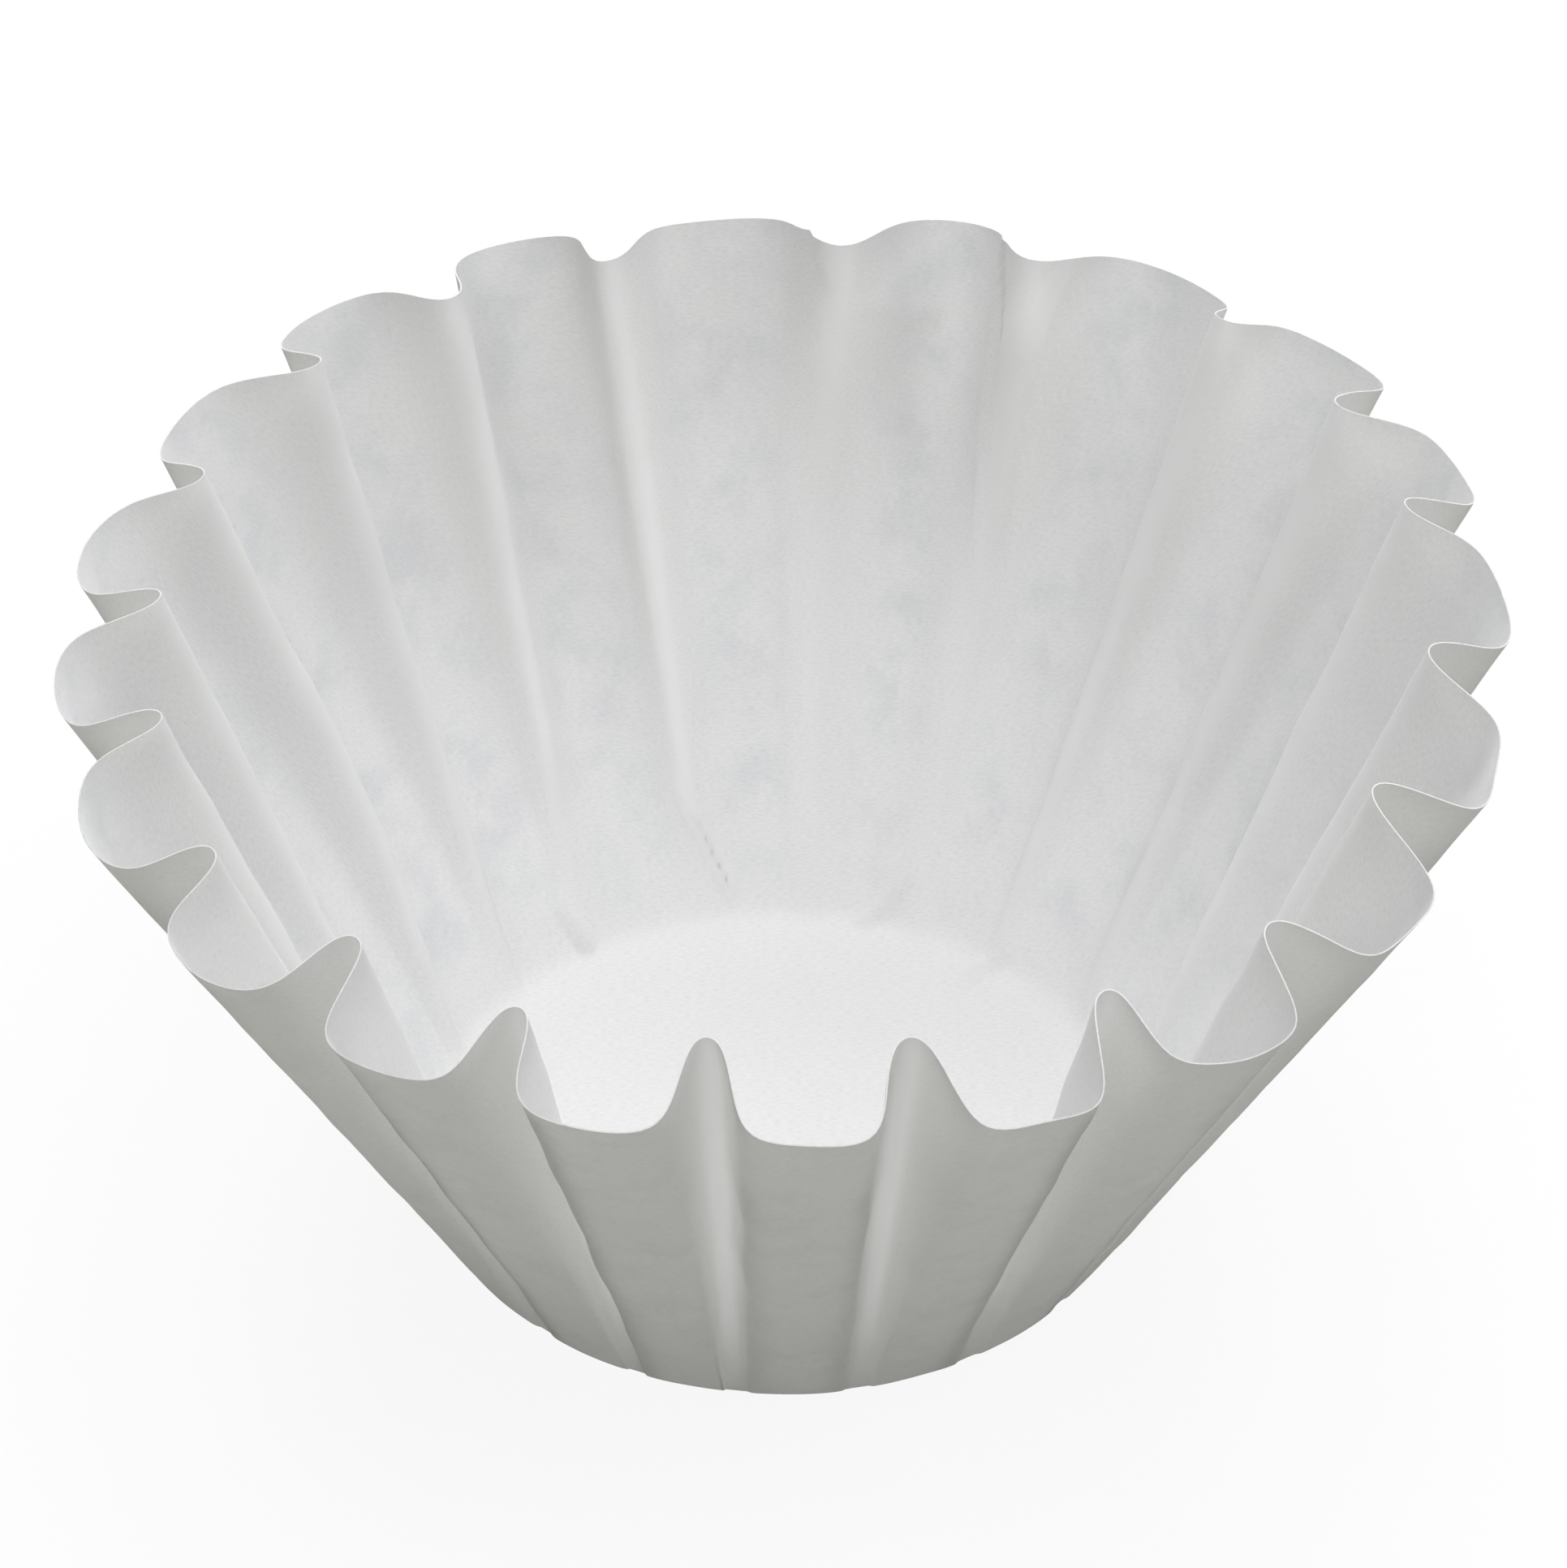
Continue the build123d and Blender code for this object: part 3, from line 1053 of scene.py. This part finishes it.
    def closed_mesh(
        self, outer: np.ndarray, inner: np.ndarray, flat: np.ndarray, marks: dict[str, np.ndarray]
    ) -> bpy.types.Mesh:
        """Joins the two sides of the sheet at the rim and closes each in its middle.

        Args:
            outer: Grid of the outer side, in mm.
            inner: Grid of the inner side, in mm.
            flat: Each grid point's place on the flat blank, in mm.
            marks: Values at each point of the outer and the inner grid, for the material.

        Returns:
            A closed mesh in metres.
        """
        centre = np.array([[0, 0, outer[0, :, 2].mean()], [0, 0, inner[0, :, 2].mean()]])
        vertices = np.concatenate([outer.reshape(-1, 3), inner.reshape(-1, 3), centre])
        blank = flat.reshape(-1, 2)
        spread = np.concatenate([blank, blank, np.zeros((2, 2))]) / (2 * self.blank_radius) + 0.5
        mesh = bpy.data.meshes.new("creped_sheet")
        faces = self.faces(*outer.shape[:2])
        mesh.from_pydata((vertices * METRES_PER_MM).tolist(), [], faces)
        mesh.validate()
        corners = np.zeros(len(mesh.loops), dtype=np.int32)
        mesh.loops.foreach_get("vertex_index", corners)
        layer = mesh.uv_layers.new(name="flat_blank")
        layer.data.foreach_set("uv", spread[corners].ravel())
        for name, marked in marks.items():
            attribute = mesh.attributes.new(name, "FLOAT", "POINT")
            values = np.concatenate([marked.ravel(), np.zeros(2)])
            attribute.data.foreach_set("value", values.astype(np.float32))
        mesh.shade_smooth()
        mesh.set_sharp_from_angle(angle=math.radians(self.sharp_angle))
        return mesh

    def dress(self, sheet: bpy.types.Object, paper: CrepedPaper) -> None:
        """Gives the sheet its one material."""
        sheet.data.materials.append(paper.material())


@dataclass(frozen=True)
class SoftLamp:
    """A round soft box, aimed at the filter. Place and width are in metres."""

    name: str
    place: tuple[float, float, float]
    width: float
    watts: float

    def hang(self) -> bpy.types.Object:
        """Hangs the lamp in the scene, aimed at the filter's middle.

        Returns:
            The new lamp.
        """
        light = bpy.data.lights.new(self.name, "AREA")
        light.shape = "DISK"
        light.size = self.width
        light.energy = self.watts
        lamp = bpy.data.objects.new(self.name, light)
        lamp.location = self.place
        aim = Vector((0, 0, cad_box[1][2] / 2)) - lamp.location
        lamp.rotation_euler = aim.to_track_quat("-Z", "Y").to_euler()
        bpy.context.scene.collection.objects.link(lamp)
        return lamp


@dataclass(frozen=True)
class Studio:
    """A pale floor, a faint even sky, and four soft lamps round the filter.

    Lengths are in metres. The lamps, the sky and the floor's bounce are fitted to the
    tones of the photograph.
    """

    floor_width: float = 4.0
    floor_drop: float = 0.0001
    floor_bounce: str = "#706F69"
    floor_face: str = "#F4F4F4"
    face_share: float = 0.1
    sky: str = "#F5F5F8"
    sky_strength: float = 0.15
    lamps: tuple[SoftLamp, ...] = (
        SoftLamp("top_lamp", (0.0, 0.0, 1.3), 1.2, 10.4),
        SoftLamp("back_lamp", (0.0, 1.0, 0.84), 0.9, 9.8),
        SoftLamp("right_lamp", (1.0, 0.0, 0.84), 0.9, 3.8),
        SoftLamp("front_lamp", (0.0, -1.0, 0.84), 0.9, 1.4),
    )

    def floor_material(self) -> bpy.types.Material:
        """Makes a floor that is white to the camera and a plain grey to all else.

        Returns:
            The new material, on which the filter's soft shadow still shows.
        """
        material = bpy.data.materials.new("studio_floor")
        material.use_nodes = True
        tree = material.node_tree
        tree.nodes.clear()
        path = add_node(tree, "ShaderNodeLightPath")
        bounce = add_node(
            tree, "ShaderNodeBsdfDiffuse", inputs={"Color": linear_colour(self.floor_bounce)}
        )
        face = add_node(
            tree, "ShaderNodeBsdfDiffuse", inputs={"Color": linear_colour(self.floor_face)}
        )
        glow = add_node(tree, "ShaderNodeEmission", inputs={"Strength": 1.0})
        seen = add_node(
            tree,
            "ShaderNodeMixShader",
            inputs={
                "Fac": self.face_share,
                1: glow.outputs["Emission"],
                2: face.outputs["BSDF"],
            },
        )
        shown = add_node(
            tree,
            "ShaderNodeMixShader",
            inputs={
                "Fac": path.outputs["Is Camera Ray"],
                1: bounce.outputs["BSDF"],
                2: seen.outputs["Shader"],
            },
        )
        add_node(tree, "ShaderNodeOutputMaterial", inputs={"Surface": shown.outputs["Shader"]})
        return material

    def build_floor(self) -> bpy.types.Object:
        """Lays the floor just under the filter's base.

        Returns:
            The new floor.
        """
        half = self.floor_width / 2
        mesh = bpy.data.meshes.new("studio_floor")
        corners = [(-half, -half, 0), (half, -half, 0), (half, half, 0), (-half, half, 0)]
        mesh.from_pydata(corners, [], [(0, 1, 2, 3)])
        floor = bpy.data.objects.new("studio_floor", mesh)
        floor.location.z = cad_box[0][2] - self.floor_drop
        floor.data.materials.append(self.floor_material())
        bpy.context.scene.collection.objects.link(floor)
        return floor

    def light_world(self) -> None:
        """Fills the room with an even sky that the camera sees as white."""
        world = bpy.data.worlds.new("studio_sky")
        world.use_nodes = True
        tree = world.node_tree
        tree.nodes.clear()
        path = add_node(tree, "ShaderNodeLightPath")
        sky = add_node(
            tree,
            "ShaderNodeBackground",
            inputs={"Color": linear_colour(self.sky), "Strength": self.sky_strength},
        )
        white = add_node(tree, "ShaderNodeBackground", inputs={"Color": WHITE})
        both = add_node(
            tree,
            "ShaderNodeMixShader",
            inputs={
                "Fac": path.outputs["Is Camera Ray"],
                1: sky.outputs["Background"],
                2: white.outputs["Background"],
            },
        )
        add_node(tree, "ShaderNodeOutputWorld", inputs={"Surface": both.outputs["Shader"]})
        bpy.context.scene.world = world

    def build(self) -> None:
        """Lays the floor, lights the world and hangs the lamps."""
        self.build_floor()
        self.light_world()
        for lamp in self.lamps:
            lamp.hang()


@dataclass(frozen=True)
class PhotoCamera:
    """The photograph's viewpoint. Lengths are in mm and angles in degrees."""

    elevation: float = 40.9
    focal_px: float = 12000.0
    distance: float = 801.0
    target: tuple[float, float, float] = (-0.06, 0.0, 41.28)
    roll: float = 0.41
    sensor: float = 36.0

    def build(self) -> bpy.types.Object:
        """Makes the camera that the scene is rendered through.

        Returns:
            The new camera.
        """
        tilt = math.radians(self.elevation)
        turn = math.radians(self.roll)
        forward = Vector((0, math.cos(tilt), -math.sin(tilt)))
        right = Vector((1, 0, 0))
        up = right.cross(forward)
        across = right * math.cos(turn) + up * math.sin(turn)
        upright = up * math.cos(turn) - right * math.sin(turn)
        data = bpy.data.cameras.new("photo_camera")
        data.sensor_width = self.sensor
        data.lens = self.focal_px * self.sensor / max(PHOTO_WIDTH_PX, PHOTO_HEIGHT_PX)
        camera = bpy.data.objects.new("photo_camera", data)
        place = (Vector(self.target) - forward * self.distance) * METRES_PER_MM
        turned = Matrix((across, upright, -forward)).transposed().to_4x4()
        camera.matrix_world = Matrix.Translation(place) @ turned
        bpy.context.scene.collection.objects.link(camera)
        bpy.context.scene.camera = camera
        return camera


def main() -> None:
    """Builds the camera, the studio and the filter, and reports each piece."""
    logging.basicConfig(level=logging.INFO, format="%(name)s: %(message)s")
    bpy.context.scene.view_settings.view_transform = "Standard"
    PhotoCamera().build()
    Studio().build()
    filter_sheet = FilterSheet()
    sheet = filter_sheet.build()
    filter_sheet.dress(sheet, CrepedPaper())
    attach(sheet, "root")
    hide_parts("filter_paper")
    log.info("%s: %d faces", sheet.name, len(sheet.data.polygons))


if __name__ == "__main__":
    main()
